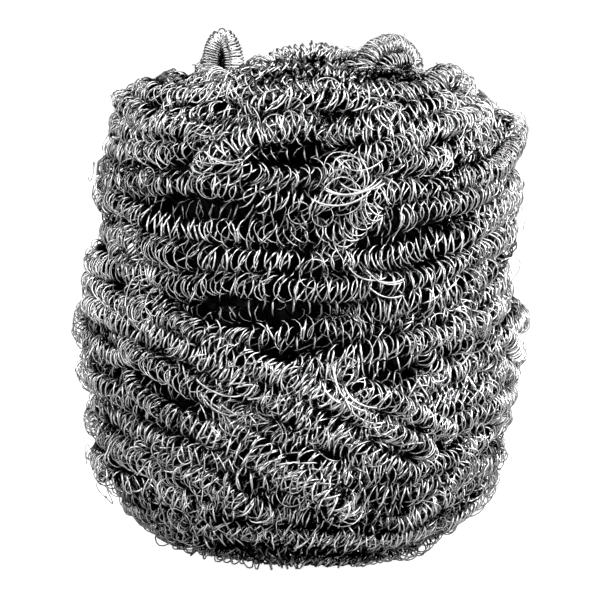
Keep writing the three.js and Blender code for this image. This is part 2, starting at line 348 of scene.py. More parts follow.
# Soft boxes: one overhead in front, one on the right and one on the left, in metres and watts
LAMPS = table(
    "name place size power",
    ("overhead_box", (0.10, -0.35, 0.85), 0.95, 12.0),
    ("right_box", (0.85, -0.28, 0.15), 1.25, 38.0),
    ("left_box", (-0.85, -0.15, 0.13), 1.12, 15.5),
)
LAMP_AIM = (0.0, 0.0, 45 * MM)
SENSOR_WIDTH = 36.0  # mm
BACKDROP_WAY = (0.22, 0.95, 0.10)  # towards the middle of the white backdrop
BACKDROP_EDGE = {"From Min": 0.40, "From Max": 0.85}  # cosines between which it fades
FLOOR_GRAIN = 8.0
FLOOR_MOTTLE = 0.98
FLOOR_ROUGHNESS = 0.9
FLOOR_SPECULAR = 0.1


def length(name, description, default):
    """A length that a user may change, with its default in mm."""
    return FloatProperty(
        name=name, description=description, default=default * MM, min=0.0, unit="LENGTH", precision=5
    )


def factor(name, description, default):
    """A plain factor from 0 to 1."""
    return FloatProperty(
        name=name, description=description, default=default, min=0.0, max=1.0, subtype="FACTOR"
    )


def colour(name, description, default):
    """A colour with full cover."""
    return FloatVectorProperty(
        name=name, description=description, default=default, size=3, min=0.0, max=1.0, subtype="COLOR"
    )


class ScourerWinding(bpy.types.PropertyGroup):
    """The ball's outline, over the crests of its turns, and how the turns stray."""

    body_diameter: length("Body diameter", "Across the side turns", 74.5)
    body_height: length("Body height", "Up to the top turns", 84)
    base_flat_radius: length("Base flat radius", "Radius of the pressed base", 14)
    base_corner_height: length("Base corner height", "Rise of the rounding at the base", 21)
    base_hollow_radius: length("Base hollow radius", "Radius of the hollow in the base", 4)
    base_press: length("Base press", "How far the lowest turns are flattened", 1.2)
    top_rim_radius: length("Top rim radius", "Radius of the crest of the top", 18)
    top_shoulder_height: length("Top shoulder height", "Drop of the rounding at the top", 20)
    top_hollow_radius: length("Top hollow radius", "Radius of the hollow in the top", 4)
    top_hollow_depth: length("Top hollow depth", "Depth of the hollow in the top", 5)
    waist_bulge: length("Waist bulge", "How far the fullest height stands proud", 2.2)
    waist_height: length("Waist height", "Height where the side is fullest", 38.5)
    waist_spread: length("Waist spread", "How far the fullness reaches up and down", 8.5)
    top_lean: length("Top lean", "How far the upper half has settled to the right", 1.5)
    lean_from: length("Lean from", "Height where the lean begins", 44)
    lean_to: length("Lean to", "Height where the lean is full", 58)
    strand_diameter: length("Strand diameter", "Across one coiled strand", 5.2)
    turn_pitch: length("Turn pitch", "From one turn to the next", 4.9)
    turn_waver: length("Turn waver", "Rise and fall of the turns", 1.1)
    turn_stagger: length("Turn stagger", "How far turns stand proud of each other", 1.0)
    end_calm: length("End calm", "Distance over which the end turns steady", 16)
    strand_stray: length("Strand stray", "How far a strand wanders from its turn", 1.5)
    strand_heave: length("Strand heave", "How far a strand rises and sinks", 1.2)
    end_swell: length("End swell", "How far every other turn stands up on both roundings", 1.4)


class ScourerWire(bpy.types.PropertyGroup):
    """The flat wire and its loops."""

    width: length("Wire width", "Across the flat side", 0.29)
    thickness: length("Wire thickness", "Through the flat wire", 0.21)
    floor_clearance: length("Floor clearance", "Lowest middle of a wire over the floor", 0.3)
    seed: IntProperty(name="Seed", description="Chooses the chance bends of the wire", default=7, min=0)


class ScourerSteel(bpy.types.PropertyGroup):
    """The finish of the wire, and the painted shade of the turns behind and of the packed heart."""

    bright: colour("Bright steel", "Clean rolled face of the wire", (0.80, 0.80, 0.805))
    dull: colour("Dull steel", "Handled patches of the wire", (0.36, 0.36, 0.363))
    # Painted shade: a darker copy of the bright and dull steel for the turns behind
    shaded_bright: colour("Shaded steel", "Wire of the turns behind", (0.36, 0.36, 0.365))
    shaded_dull: colour("Shaded dull steel", "Dull patches of the turns behind", (0.10, 0.10, 0.10))
    # Painted shade: near-black steel for the packed heart, deep between the turns
    painted_shade_packed_bright: colour("Packed steel", "Wire deep between the turns", (0.006, 0.006, 0.006))
    painted_shade_packed_dull: colour("Packed shade", "Gaps deep between the turns", (0.002, 0.002, 0.002))
    smooth: factor("Smooth roughness", "Roughness of the brightest wire", 0.10)
    worn: factor("Worn roughness", "Roughness of the dullest wire", 0.22)


class ScourerStage(bpy.types.PropertyGroup):
    """Floor, light and camera."""

    floor_colour: colour("Floor", "Plain pale floor", (0.50, 0.50, 0.50))
    floor_reach: length("Floor reach", "Half the floor's width", 30_000)
    floor_lift: factor("Floor lift", "How far the floor shows lighter than it is lit", 0.96)
    mirrored_lift: factor("Mirrored lift", "The same, as seen in the wire", 0.12)
    front_level: factor("Front level", "Brightness of the surround in front", 0.03)
    fill_level: factor("Fill level", "Plain light of the surround on matt surfaces", 0.22)
    camera_distance: length("Camera distance", "From the middle of the ball", 420)
    camera_elevation: FloatProperty(
        name="Camera elevation", description="Height angle of the camera", default=math.radians(8),
        subtype="ANGLE"
    )
    look_height: length("Look height", "Height that the camera looks at", 43)
    lens: FloatProperty(name="Lens", description="Focal length in millimetres", default=144.4, min=1.0)


def unit(vectors):
    """The same directions with length one."""
    return vectors / np.maximum(np.linalg.norm(vectors, axis=-1, keepdims=True), 1e-12)


def dot(a, b):
    """Products of paired vectors, kept as a column."""
    return np.sum(a * b, axis=-1, keepdims=True)


def smooth_rise(low, high, x):
    """0 up to low, 1 from high, and an easy curve between."""
    t = np.clip((x - low) / (high - low), 0.0, 1.0)
    return t * t * (3.0 - 2.0 * t)


def bell(x):
    """A hump of height one round zero."""
    return np.exp(-x * x)


def ellipse(middle, radii, start, stop, steps=160):
    """Points of an ellipse between two angles in degrees."""
    angle = np.radians(np.linspace(start, stop, steps))
    return np.column_stack([middle[0] + radii[0] * np.cos(angle), middle[1] + radii[1] * np.sin(angle)])


def distances(points):
    """How far along a line each of its points lies."""
    step = np.linalg.norm(np.diff(points, axis=0), axis=1)
    return np.concatenate([[0.0], np.cumsum(step)])


def waves(parts, azimuth, turn):
    """A sum of waves round the ball that shift from turn to turn."""
    return sum(part * np.sin(count * azimuth + shift * turn + start) for part, count, shift, start in parts)


class Winding:
    """The ball's surface, read by azimuth from the front and by distance along the outline."""

    def __init__(self, w):
        self.w = w
        self.trace_outline()
        self.foot = [self.along_at_height(part * w.body_height) for part in FOOT_HEIGHTS]
        self.shoulder = [self.along_at_height(part * w.body_height) for part in SHOULDER_HEIGHTS]
        self.sags = [
            (math.radians(g["azimuth"]), math.radians(g["reach"]), self.along_at_height(g["height"] * MM),
             g["spread"] * MM, g["rise"] * MM)
            for g in SAGS
        ]
        self.partings = []
        for p in PARTINGS:
            ends = [(math.radians(place[0]), self.along_for(*place)) for place in (p["start"], p["stop"])]
            self.partings.append((*ends[0], *ends[1], p["gap"] * MM))

    def trace_outline(self):
        """Radius and height from the hollow in the base to the hollow in the top."""
        w = self.w
        side = w.body_diameter / 2
        foot = -w.base_press
        shoulder = w.body_height - w.top_shoulder_height
        corner_radii = (side - w.base_flat_radius, w.base_corner_height)
        shoulder_radii = (side - w.top_rim_radius, w.top_shoulder_height)
        hollow_radii = (w.top_rim_radius - w.top_hollow_radius, w.top_hollow_depth)
        points = np.concatenate([
            [[w.base_hollow_radius, foot]],
            ellipse((w.base_flat_radius, foot + w.base_corner_height), corner_radii, -90, 0),
            ellipse((w.top_rim_radius, shoulder), shoulder_radii, 0, 90),
            ellipse((w.top_rim_radius, w.body_height - w.top_hollow_depth), hollow_radii, 90, 180)[1:],
        ])
        self.points = points
        self.marks = distances(points)
        self.length = self.marks[-1]
        self.turns = self.length / w.turn_pitch

    def outline_at(self, along):
        """Radius and height at a distance along the outline."""
        radii, heights = self.points.T
        return np.interp(along, self.marks, radii), np.interp(along, self.marks, heights)

    def slope_at(self, along):
        """Direction of the outline, as radius and height."""
        low_radius, low_height = self.outline_at(np.maximum(along - SLOPE_STEP, 0.0))
        high_radius, high_height = self.outline_at(np.minimum(along + SLOPE_STEP, self.length))
        size = np.hypot(high_radius - low_radius, high_height - low_height)
        return (high_radius - low_radius) / size, (high_height - low_height) / size

    def along_at_height(self, height):
        """How far along the outline it first reaches a height."""
        crest = np.argmax(self.points[:, 1]) + 1
        return np.interp(height, self.points[:crest, 1], self.marks[:crest])

    def along_for(self, azimuth, height):
        """Where along the outline a turn lies that the sags bring to a height, at an azimuth in degrees."""
        goal = self.along_at_height(height * MM)
        along = goal
        for _ in range(SAG_ROUNDS):
            along = goal - float(self.sag(math.radians(azimuth), along))
        return along

    def sag(self, azimuth, along):
        """How far the turns are pulled up or down."""
        total = 0.0
        for middle, reach, height, spread, rise in self.sags:
            away = np.mod(azimuth - middle + math.pi, TURN) - math.pi
            total = total + rise * bell(away / reach) * bell((along - height) / spread)
        return total

    def drift(self, azimuth, along, parted):
        """How far a turn strays along the outline."""
        w = self.w
        turn = along / w.turn_pitch
        drift = self.sag(azimuth, along) + w.turn_waver * waves(WAVER_WAVES, azimuth, turn)
        for start, start_along, stop, stop_along, gap in self.partings:
            middle = (start + stop) / 2
            away = np.mod(azimuth - middle + math.pi, TURN) - math.pi
            share = away / (stop - start)
            level = (start_along + stop_along) / 2 + share * (stop_along - start_along)
            side = (along - level) / w.turn_pitch
            push = np.tanh(side / PARTING_EDGE) * bell(side / PARTING_SPREAD) * bell(PARTING_TAPER * share)
            drift += parted * gap / 2 * push
        ends = smooth_rise(0, w.end_calm, along) * smooth_rise(0, w.end_calm, self.length - along)
        return drift * ends

    def lift(self, azimuth, along, height):
        """How far a turn stands proud of its neighbours, with the side's fullness."""
        w = self.w
        stagger = w.turn_stagger * waves(STAGGER_WAVES, azimuth, along / w.turn_pitch)
        fullness = w.waist_bulge * bell((height - w.waist_height) / w.waist_spread)
        return stagger * smooth_rise(*STAGGER_HEIGHTS, height) + fullness

    def place(self, azimuth, along, proud, parted=1.0):
        """Points a given height proud of the crests, with their outward directions."""
        w = self.w
        strayed = np.clip(along + self.drift(azimuth, along, parted), 0.0, self.length)
        radius, height = self.outline_at(strayed)
        d_radius, d_height = self.slope_at(strayed)
        lift = proud + self.lift(azimuth, along, height)
        radius = radius + d_height * lift
        height = height - d_radius * lift
        lean = w.top_lean * smooth_rise(w.lean_from, w.lean_to, height)
        sine, cosine = np.sin(azimuth), np.cos(azimuth)
        points = np.column_stack([radius * sine + lean, -radius * cosine, height])
        outward = np.column_stack([d_height * sine, -d_height * cosine, -d_radius])
        return points, outward


class StrandPath:
    """A line with its running, outward and crosswise directions, read by length."""

    def __init__(self, points, outward):
        self.marks = distances(points)
        self.length = self.marks[-1]
        running = unit(np.gradient(points, axis=0))
        outward = unit(outward - dot(outward, running) * running)
        self.tracks = (points, running, outward, np.cross(outward, running))

    def read(self, distance):
        """Points and directions at distances along the line."""
        return [
            np.column_stack([np.interp(distance, self.marks, column) for column in track.T])
            for track in self.tracks
        ]


def spline(knots, steps=40):
    """A smooth line through a few knots."""
    knots = np.asarray(knots, float)
    padded = np.concatenate([[2 * knots[0] - knots[1]], knots, [2 * knots[-1] - knots[-2]]])
    t = np.linspace(0, 1, steps, endpoint=False)[:, None]
    runs = []
    for a, b, c, d in zip(padded, padded[1:], padded[2:], padded[3:]):
        bend = (2 * a - 5 * b + 4 * c - d) * t**2 + (3 * b - a - 3 * c + d) * t**3
        runs.append(0.5 * (2 * b + (c - a) * t + bend))
    return np.concatenate(runs + [knots[-1:]])


def wandering(rng, count, span):
    """Even chance values between -1 and 1 that change slowly, over a span of steps."""
    knots = rng.uniform(-1.0, 1.0, int(count / span) + 3)
    return blended(knots, np.arange(count) / span)


def blended(knots, at):
    """Values between knots that stand one apart, with an easy curve from each to the next."""
    low = np.floor(at).astype(int)
    part = smooth_rise(0.0, 1.0, at - low)
    return knots[low] * (1.0 - part) + knots[low + 1] * part


def coil(path, wire, settings, rng):
    """One wire coiled round a strand: its middle line, its flat side, and how far inside each loop it is,
    which sets its painted shade.
    """
    count = max(FEWEST_LOOPS, int(path.length / (wire["pitch"] * MM)))
    ease = min(1.0, 2.0 * wire["disorder"])
    pitch = rng.lognormal(0.0, PITCH_SPREAD * ease, count)
    pitch[rng.random(count) < SKIP_SHARE * ease] *= SKIP_LENGTH
    marks = np.concatenate([[0.0], np.cumsum(pitch)])
    marks *= path.length / marks[-1]
    loops = np.arange(count + 1)

    def slow(span):
        return ease * wandering(rng, count + 1, span)

    def loose():
        return disorder * rng.uniform(-1.0, 1.0, count + 1)

    def stray(slowly, span, loosely):
        return slowly * slow(span) + loosely * loose()

    disorder = wire["disorder"] * np.sqrt(0.5 + 0.5 * slow(DISORDER_LOOPS))
    size = MM * (1.0 + stray(*SIZE_STRAY) - DISORDER_SHRINK * disorder)
    lean = np.radians(wire["lean"] + stray(*LEAN_STRAY))
    patches = slow(PATCH_LOOPS)
    swing = np.radians(wire["swing"] * np.sign(patches) * np.sqrt(np.abs(patches)) + SWING_LOOSE * loose())
    turned = rng.random(count + 1) < TURNED_SHARE * ease
    swing[turned] += rng.choice([-1.0, 1.0], turned.sum()) * rng.uniform(*TURNED_SWING, turned.sum())
    out_shift = MM * stray(*OUT_STRAY)
    side_shift = MM * stray(*SIDE_STRAY)
    twist = stray(*TWIST_STRAY)
    q = np.linspace(0, count, count * wire["bits"] + 1)
    point, running, outward, crosswise = path.read(np.interp(q, loops, marks))

    def at(values):
        return np.interp(q, loops, values)[:, None]

    psi = TURN * (q + rng.random())[:, None]
    psi = psi - OUTER_CROWDING * np.sin(psi)
    out = np.cos(at(swing)) * outward + np.sin(at(swing)) * running
    along = np.cos(at(lean)) * crosswise - np.sin(at(lean)) * running
    middle = point + at(out_shift) * outward + at(side_shift) * crosswise
    line = middle + at(size) * (wire["radius"] * np.cos(psi) * out + wire["across"] * np.sin(psi) * along)
    line[:, 2] = np.maximum(line[:, 2], settings.floor_clearance)
    run = unit(np.gradient(line, axis=0))
    across = unit(np.cross(run, np.cos(psi) * out + np.sin(psi) * along))
    flat = np.cos(at(twist)) * np.cross(across, run) + np.sin(at(twist)) * across
    # How far round each loop from its open side, scaled by the wire's shade share: this sets the painted
    # shade
    tilt = np.arctan2(dot(exposed(outward), crosswise), dot(exposed(outward), outward))
    return line, flat, wire.get("shade", 1.0) * (0.5 - 0.5 * np.cos(psi - tilt)[:, 0])


def exposed(outward):
    """The open side of a strand, where its painted shade is lightest: outward, but more to the side on the
    top and more downward at the base.
    """
    level = unit(outward * np.array([1.0, 1.0, 0.0]))
    slope = smooth_rise(*SLOPE_RANGE, np.abs(outward[:, 2:]))
    return outward + np.where(outward[:, 2:] > 0, TOP_TURN, BASE_TURN) * slope * level


def map_boxes(marks):
    """The four corners, on the texture map's rows, of every side of a wire's straight bits."""
    sides = len(WIRE_SECTION)
    row = np.floor(marks[:-1] / MAP_ROW_LENGTH)
    left = np.repeat((marks[:-1] / MAP_ROW_LENGTH - row)[:, None], sides, axis=1)
    right = np.repeat((marks[1:] / MAP_ROW_LENGTH - row)[:, None], sides, axis=1)
    below = row[:, None] + MAP_BANDS[None, :-1]
    above = row[:, None] + MAP_BANDS[None, 1:]
    return [np.stack(pair, -1) for pair in ((left, below), (right, below), (right, above), (left, above))]


def ribbon_piece(name, wires, settings, material, gauge=1.0):
    """One piece of closed flat ribbons, each given by its middle line, flat side and depth, which sets its
    painted shade.
    """
    sides = len(WIRE_SECTION)
    side = np.arange(sides)[None, :]
    vertices, painted_shade_depths, quads, caps, quad_maps, cap_maps = [], [], [], [], [], []
    first, run_length = 0, 0.0
    for line, flat, depth in wires:
        run = unit(np.gradient(line, axis=0))
        across = unit(np.cross(run, flat))
        out = np.cross(across, run)
        ring = line[:, None, :] + gauge * settings.width * WIRE_SECTION[None, :, :1] * across[:, None, :]
        ring = ring + gauge * settings.thickness * WIRE_SECTION[None, :, 1:] * out[:, None, :]
        vertices.append(ring.reshape(-1, 3))
        painted_shade_depths.append(np.repeat(depth, sides))
        count = len(line)
        low = sides * np.arange(count - 1)[:, None] + side
        high = sides * np.arange(count - 1)[:, None] + (side + 1) % sides
        quads.append(first + np.stack([low, low + sides, high + sides, high], axis=-1).reshape(-1, 4))
        caps.append(first + np.array([[0, 1, 2], [2, 1, 0]]) + np.array([[0], [sides * (count - 1)]]))
        first += sides * count
        marks = run_length + distances(line)
        run_length = marks[-1]
        boxes = map_boxes(marks)
        quad_maps.append(np.stack(boxes, axis=2).reshape(-1, 4, 2))
        cap_maps.append(np.stack([boxes[0][[0, -1], 0]] * 3, axis=1))
    scale = np.array([MAP_REACH, 1.0 / math.ceil(run_length / MAP_ROW_LENGTH)])
    corner_map = np.concatenate([m.reshape(-1, 2) for m in quad_maps + cap_maps]) * scale
    vertices, quads, caps, painted_shade_depths = (np.concatenate(runs) for runs in (vertices, quads, caps, painted_shade_depths))
    mesh_piece(name, vertices, quads, caps, corner_map, material, painted_shade_depths)


def mesh_piece(name, vertices, quads, triangles, corner_map, material, painted_shade_depths):
    """An object from its faces, riding on the part in the place of its solid."""
    corners = np.concatenate([quads.ravel(), triangles.ravel()])
    sizes = np.concatenate([np.full(len(quads), 4), np.full(len(triangles), 3)])
    mesh = bpy.data.meshes.new(name)
    mesh.vertices.add(len(vertices))
    mesh.vertices.foreach_set("co", vertices.astype(np.float32).ravel())
    mesh.loops.add(len(corners))
    mesh.loops.foreach_set("vertex_index", corners.astype(np.int32))
    mesh.polygons.add(len(sizes))
    mesh.polygons.foreach_set("loop_start", (np.cumsum(sizes) - sizes).astype(np.int32))
    mesh.polygons.foreach_set("use_smooth", np.ones(len(sizes), bool))
    mesh.update(calc_edges=True)
    # Painted shade: the depth of each point, by which the steel's colour goes to black
    depth = mesh.attributes.new("depth", "FLOAT", "POINT")
    depth.data.foreach_set("value", painted_shade_depths.astype(np.float32))
    layer = mesh.uv_layers.new(name="OFBake")
    layer.data.foreach_set("uv", corner_map.astype(np.float32).ravel())
    if mesh.validate():
        raise RuntimeError(f"{name} has faces that don't hold together")
    mesh.materials.append(material)
    piece = bpy.data.objects.new(name, mesh)
    bpy.context.scene.collection.objects.link(piece)
    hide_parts(NODE)
    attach(piece, "root")


def feed(tree, node, inputs):
    """Set each input of a node to a value, or link it to another node's output."""
    for name, value in inputs.items():
        if isinstance(value, bpy.types.NodeSocket):
            tree.links.new(value, node.inputs[name])
        else:
            node.inputs[name].default_value = value


def add_node(tree, kind, inputs=None, **settings):
    """The outputs of a new shader node."""
    node = tree.nodes.new("ShaderNode" + kind)
    for name, value in settings.items():
        setattr(node, name, value)
    feed(tree, node, inputs or {})
    return node.outputs


def maths(tree, operation, *inputs):
    """The outcome of one operation on values and other nodes' outputs."""
    return add_node(tree, "Math", dict(enumerate(inputs)), operation=operation)[0]


def eased(tree, value, limits):
    """A value brought by an easy curve from one range to another."""
    return add_node(tree, "MapRange", {"Value": value, **limits}, interpolation_type="SMOOTHSTEP")["Result"]


def mixed(tree, kind, share, first, second):
    """A blend from the first value or colour to the second."""
    return add_node(tree, "Mix", {"Factor": share, "A": first, "B": second}, data_type=kind)["Result"]


def steel_mottle_and_painted_shade_group():
    """A node group that turns the object's own coordinates into the mottle of drawn steel, and blackens that
    colour by the depth attribute as painted shade.
    """
    group = bpy.data.node_groups.get(MOTTLE)
    if group:
        return group
    group = bpy.data.node_groups.new(MOTTLE, "ShaderNodeTree")
    for name, way, kind in (("Bright", "INPUT", "Color"), ("Dull", "INPUT", "Color"),
                            ("Smooth", "INPUT", "Float"), ("Worn", "INPUT", "Float"),
                            ("Colour", "OUTPUT", "Color"), ("Roughness", "OUTPUT", "Float"),
                            ("Height", "OUTPUT", "Float")):
        group.interface.new_socket(name, in_out=way, socket_type="NodeSocket" + kind)
    entry = group.nodes.new("NodeGroupInput").outputs
    place = add_node(group, "TexCoord")["Object"]
    streak = add_node(group, "TexNoise", {"Vector": place, **STREAKS})["Fac"]
    patch = add_node(group, "TexNoise", {"Vector": place, **PATCHES})["Fac"]
    soften = maths(group, "MULTIPLY", patch, 1.0 - STREAK_SHARE)
    blend = maths(group, "MULTIPLY_ADD", streak, STREAK_SHARE, soften)
    spread = add_node(group, "MapRange", {"Value": blend, **MOTTLE_RANGE})["Result"]
    tint = mixed(group, "RGBA", spread, entry["Dull"], entry["Bright"])
    rough = mixed(group, "FLOAT", spread, entry["Worn"], entry["Smooth"])
    # Painted shade: the colour goes to black deeper inside each loop
    depth = add_node(group, "Attribute", attribute_name="depth")["Fac"]
    shaded = mixed(group, "RGBA", eased(group, depth, SHADE_RANGE), BLACK, tint)
    leave = group.nodes.new("NodeGroupOutput")
    feed(group, leave, {"Colour": shaded, "Roughness": rough, "Height": streak})
    return group


def steel_material(name, bright, dull, smooth, worn, bump):
    """Steel with the drawn mottle in its colour, gloss and surface, and painted shade by depth in its colour.
    """
    material = bpy.data.materials.get(name)
    if material:
        return material
    material = bpy.data.materials.new(name)
    material.use_nodes = True
    tree = material.node_tree
    mottle = add_node(tree, "Group", {
        "Bright": (*bright, 1.0), "Dull": (*dull, 1.0), "Smooth": smooth, "Worn": worn,
    }, node_tree=steel_mottle_and_painted_shade_group())
    relief = add_node(tree, "Bump", {"Strength": bump, "Distance": BUMP_DISTANCE, "Height": mottle["Height"]})
    feed(tree, tree.nodes["Principled BSDF"], {
        "Metallic": 1.0, "Specular Tint": (EDGE_TINT, EDGE_TINT, EDGE_TINT, 1.0),
        "Base Color": mottle["Colour"], "Roughness": mottle["Roughness"], "Normal": relief["Normal"],
    })
    return material


def wire_material():
    """The bright wire of the outer strands, darkened inside each loop by painted shade."""
    steel = bpy.context.scene.scourer_steel
    return steel_material("coiled_steel_wire", steel.bright, steel.dull, steel.smooth, steel.worn, WIRE_BUMP)


def shaded_material():
    """The wire of the turns behind, in a darker copy of the steel: painted shade for turns out of the light.
    """
    steel = bpy.context.scene.scourer_steel
    colours = (steel.shaded_bright, steel.shaded_dull)
    return steel_material("shaded_steel_wire", *colours, steel.smooth, steel.worn, WIRE_BUMP)


def packed_painted_shade_material():
    """Near-black steel for the packed wire deep between the turns: painted shade."""
    steel = bpy.context.scene.scourer_steel
    colours = (steel.painted_shade_packed_bright, steel.painted_shade_packed_dull)
    return steel_material("packed_painted_shade_wire", *colours, steel.worn, PACKED_WORN, PACKED_BUMP)


class TurnPaths:
    """The wound strand at one depth, wandering by chance, read over any range of its turns."""

    def __init__(self, winding, rng, depth, offset, parted):
        self.winding = winding
        self.parted = parted
        self.depth = depth
        self.offset = offset
        count = int(KNOTS_PER_TURN * (winding.turns + SPARE_TURNS))
        self.stray = rng.uniform(-1.0, 1.0, count)
        self.heave = rng.uniform(*HEAVE_RANGE, count)

    def read(self, first_turn, last_turn):
        """The strand's middle line over a range of turns."""
        w = self.winding.w
        turns = np.linspace(first_turn, last_turn, int((last_turn - first_turn) * STEPS_PER_TURN))
        at = turns * KNOTS_PER_TURN
        along = w.turn_pitch * (turns + self.offset) + w.strand_stray * blended(self.stray, at)
        proud = w.strand_heave * blended(self.heave, at) - self.depth
        at_foot = FOOT_SWELL * (1.0 - smooth_rise(*self.winding.foot, along))
        at_top = smooth_rise(*self.winding.shoulder, along)
        proud += w.end_swell * np.cos(math.pi * turns) * (at_top + at_foot)
        return StrandPath(*self.winding.place(TURN * turns, along, proud, self.parted))


def wound_pieces(paths, lengths, wire, rng, material):
    """One piece of coiled wires for each length of the turns at one depth."""
    top = paths.winding.turns - 2.0 * paths.offset
    for part in lengths:
        path = paths.read(part["first"], part["last"] or top)
        wires = [coil(path, kind, wire, rng) for kind in part["kinds"]]
        ribbon_piece(part["name"], wires, wire, material)


def begin(context, step):
    """The winding, the wire and a random source of its own for an operator."""
    wire = context.scene.scourer_wire
    return Winding(context.scene.scourer_winding), wire, np.random.default_rng(wire.seed + step)


class SCOURER_OT_outer_turns(bpy.types.Operator):
    """Coil the wires of the outer turns, in four stacked lengths"""

    bl_idname = "scourer.outer_turns"
    bl_label = "Outer Turns"

    def execute(self, context):
        winding, wire, rng = begin(context, 0)
        paths = TurnPaths(winding, rng, winding.w.strand_diameter / 2, offset=0.5, parted=1.0)
        wound_pieces(paths, OUTER_LENGTHS, wire, rng, wire_material())
        return {"FINISHED"}


class SCOURER_OT_inner_turns(bpy.types.Operator):
    """Coil the wires of the turns that lie behind the outer ones"""

    bl_idname = "scourer.inner_turns"
    bl_label = "Inner Turns"

    def execute(self, context):
        winding, wire, rng = begin(context, 1)
        depth = INNER_DEPTH * winding.w.strand_diameter
        paths = TurnPaths(winding, rng, depth, offset=1.0, parted=INNER_PARTED)
        # The turns behind take the darker copy of the steel, as painted shade
        wound_pieces(paths, INNER_LENGTHS, wire, rng, shaded_material())
        return {"FINISHED"}


class SCOURER_OT_crossing_strands(bpy.types.Operator):
    """Coil the strands that cross the turns and the loops that stand up on top"""

    bl_idname = "scourer.crossing_strands"
    bl_label = "Crossing Strands and Loops"

    def execute(self, context):
        winding, wire, rng = begin(context, 2)
        strands = [(crossing_path(winding, **strand), STRAND_WIRES) for strand in CROSSINGS]
        strands += [(crossing_path(winding, **strand, loose=True), LOOSE_WIRES) for strand in LOOSE_ENDS]
        for loops, kinds in ((LOOPS, LOOP_WIRES), (HAIRPINS, HAIRPIN_WIRES), (HUMPS, HUMP_WIRES)):
            strands += [(loop_path(winding, **loop), kinds) for loop in loops]
        wires = [coil(path, kind, wire, rng) for path, kinds in strands for kind in kinds]
        ribbon_piece("crossing_strands", wires, wire, wire_material())
        return {"FINISHED"}


class SCOURER_OT_tangled_strands(bpy.types.Operator):
    """Coil short strands that lie across the turns by chance"""

    bl_idname = "scourer.tangled_strands"
    bl_label = "Tangled Strands"

    def execute(self, context):
        winding, wire, rng = begin(context, 4)
        wires = []
        for _ in range(TANGLES["count"]):
            path = tangle_path(winding, rng)
            wires += [coil(path, kind, wire, rng) for kind in STRAND_WIRES]
        ribbon_piece("tangled_strands", wires, wire, wire_material())
        return {"FINISHED"}


def draped_path(winding, azimuths, alongs, proud, loose=False):
    """A strand laid over the turns, through places in radians and metres; a loose end doesn't dive in."""
    diameter = winding.w.strand_diameter
    sunk = np.full(len(azimuths), proud * MM - diameter / 2)
    sunk[0] -= diameter
    if not loose:
        sunk[-1] -= diameter
    points, outward = winding.place(np.asarray(azimuths), np.asarray(alongs), sunk)
    return StrandPath(spline(points), spline(outward))


def crossing_path(winding, start, stop, proud, loose=False, ease=1.0):
    """A strand that crosses the turns from one place to another, flatter at first where it's eased."""
    azimuths = start[0] + (stop[0] - start[0]) * CROSSING_SHARES
    heights = start[1] + (stop[1] - start[1]) * CROSSING_SHARES**ease
    alongs = [winding.along_for(azimuth, height) for azimuth, height in zip(azimuths, heights)]
    return draped_path(winding, np.radians(azimuths), alongs, proud, loose)


def tangle_path(winding, rng):
    """A short strand that lies slanted over the turns, somewhere on the ball."""
    azimuth = rng.uniform(0, TURN)
    along = rng.uniform(*TANGLES["along"]) * winding.length
    slant = math.radians(rng.uniform(*TANGLES["slant"])) * rng.choice([-1.0, 1.0])
    at = rng.uniform(*TANGLES["length"]) * MM * (CROSSING_SHARES - 0.5)
    radius, _ = winding.outline_at(along)
    azimuths = azimuth + at * math.cos(slant) / radius
    return draped_path(winding, azimuths, along + at * math.sin(slant), rng.uniform(*TANGLES["proud"]))


def loop_path(winding, start, stop, rise):
    """A strand that stands up between two feet sunk in the top turns."""
    w = winding.w

    def foot(place, height):
        angle = math.radians(place[0])
        return [place[1] * MM * math.sin(angle) + w.top_lean, -place[1] * MM * math.cos(angle), height]

    rim = w.body_height - w.strand_diameter / 2
    top = (np.array(foot(start, rim + rise * MM)) + np.array(foot(stop, rim + rise * MM))) / 2
    knots = [
        foot(start, rim - w.strand_diameter),
        foot(start, rim + rise * MM / 2),
        top,
        foot(stop, rim + rise * MM / 2),
        foot(stop, rim - w.strand_diameter),
    ]
    points = spline(knots)
    heart = np.array([top[0], top[1], min(rim, rim + 2.0 * rise * MM)])
    return StrandPath(points, points - heart)


class SCOURER_OT_stray_loops(bpy.types.Operator):
    """Stand single loops of wire out of the turns, and pull wires out into arcs"""

    bl_idname = "scourer.stray_loops"
    bl_label = "Stray Loops and Pulled Wires"

    def execute(self, context):
        winding, wire, rng = begin(context, 3)
        wires = [stray_loop(winding, wire, rng, kind) for kind in STRAYS for _ in range(kind["count"])]
        wires += [pulled_wire(winding, rng, whorl) for whorl in WHORLS for _ in range(whorl["count"])]
        ribbon_piece("stray_loops", wires, wire, wire_material(), STRAY_GAUGE)
        wires = [pulled_wire(winding, rng, arc) for arc in PULLED for _ in range(arc["count"])]
        wires += [wire_end(**end) for end in WIRE_ENDS]
        ribbon_piece("pulled_wires", wires, wire, wire_material())
        return {"FINISHED"}


